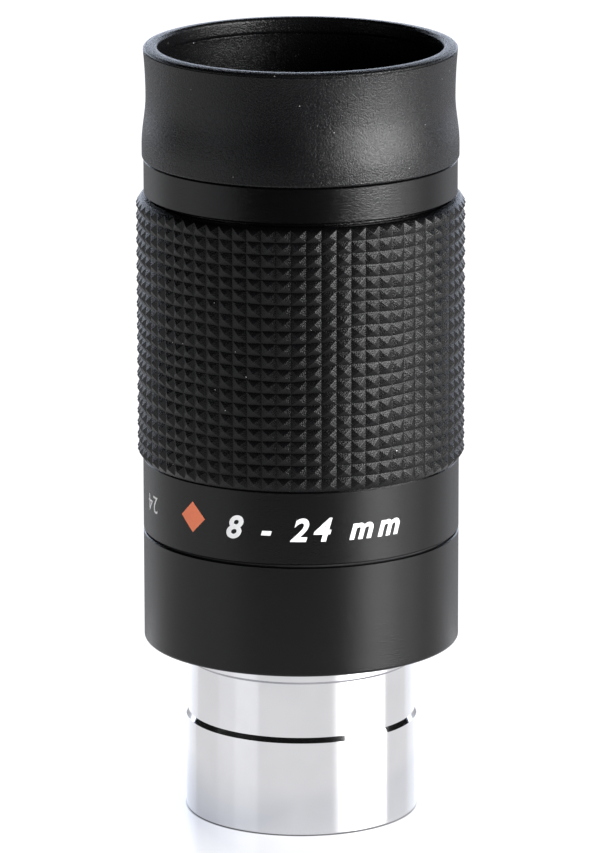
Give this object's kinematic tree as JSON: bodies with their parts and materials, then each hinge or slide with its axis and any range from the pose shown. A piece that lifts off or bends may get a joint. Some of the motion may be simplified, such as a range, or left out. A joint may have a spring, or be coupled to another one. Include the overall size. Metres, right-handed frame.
{
  "type": "telescope zoom eyepiece",
  "caption": "Push-fit zoom eyepiece: plated barrel, black housing, studded rubber zoom grip, fold-down eyecup and two sliding lens groups driven by a cam tube.",
  "frame": {"origin": "centre of the lower end face of the push-fit barrel", "axes": "+Z along the optical axis towards the eye, -Y towards the side with the mark, +X to the right of it"},
  "size_m": [0.0446, 0.0446, 0.1063],
  "materials": {
    "chrome_plate": "bright plated barrel, polished",
    "black_anodised": "satin black anodised",
    "white_paint": "white enamel fill",
    "turned_aluminium": "fine turned, bare",
    "screw_steel": "bright steel",
    "white_plastic": "low-friction white plastic",
    "baffle_black": "matt black anti-reflection finish",
    "coated_glass": "anti-reflection coated optical glass",
    "cup_rubber": "matt soft rubber",
    "grip_rubber": "moulded rubber with a fine pointed grip",
    "cam_brass": "machined brass"
  },
  "bodies": {
    "root": {"nosepiece_barrel": "chrome_plate", "lower_housing": "black_anodised", "index_dot": "white_paint", "guide_tube": "turned_aluminium", "guide_tube_screws": "screw_steel", "lower_thrust_washer": "baffle_black", "upper_thrust_washer": "baffle_black", "eye_end_ring": "black_anodised", "eye_lens_cell": "baffle_black", "eye_doublet_flint": "coated_glass", "eye_doublet_crown": "coated_glass", "eye_lens_spacer": "baffle_black", "eye_lens": "coated_glass", "eye_retaining_ring": "baffle_black", "eyecup": "cup_rubber"},
    "zoom_ring_group": {"zoom_ring": "black_anodised", "grip_sleeve": "grip_rubber", "cam_tube": "cam_brass", "cam_drive_screws": "screw_steel"},
    "front_lens_group": {"front_cell": "baffle_black", "front_doublet_crown": "coated_glass", "front_doublet_flint": "coated_glass", "front_retaining_ring": "baffle_black", "field_stop": "baffle_black", "front_guide_screws": "screw_steel", "front_slot_collars": "white_plastic"},
    "middle_lens_group": {"middle_cell": "baffle_black", "middle_doublet_crown": "coated_glass", "middle_doublet_flint": "coated_glass", "middle_retaining_ring": "baffle_black", "middle_guide_screws": "screw_steel", "middle_slot_collars": "white_plastic"}
  },
  "joints": [
    {"name": "zoom_turn", "type": "hinge", "parent": "root", "child": "zoom_ring_group", "pos_m": [0, 0, 0.06], "axis": [0, 0, -1], "range_deg": [0, 112]},
    {"name": "front_group_slide", "type": "slide", "parent": "root", "child": "front_lens_group", "axis": [0, 0, 1], "range_m": [0, 0.009]},
    {"name": "middle_group_slide", "type": "slide", "parent": "root", "child": "middle_lens_group", "axis": [0, 0, -1], "range_m": [0, 0.007]}
  ],
  "couplings": [
    {"joint": "front_group_slide", "follows": "zoom_turn", "m_per_rad": 0.0046041},
    {"joint": "middle_group_slide", "follows": "zoom_turn", "m_per_rad": 0.0035809}
  ]
}
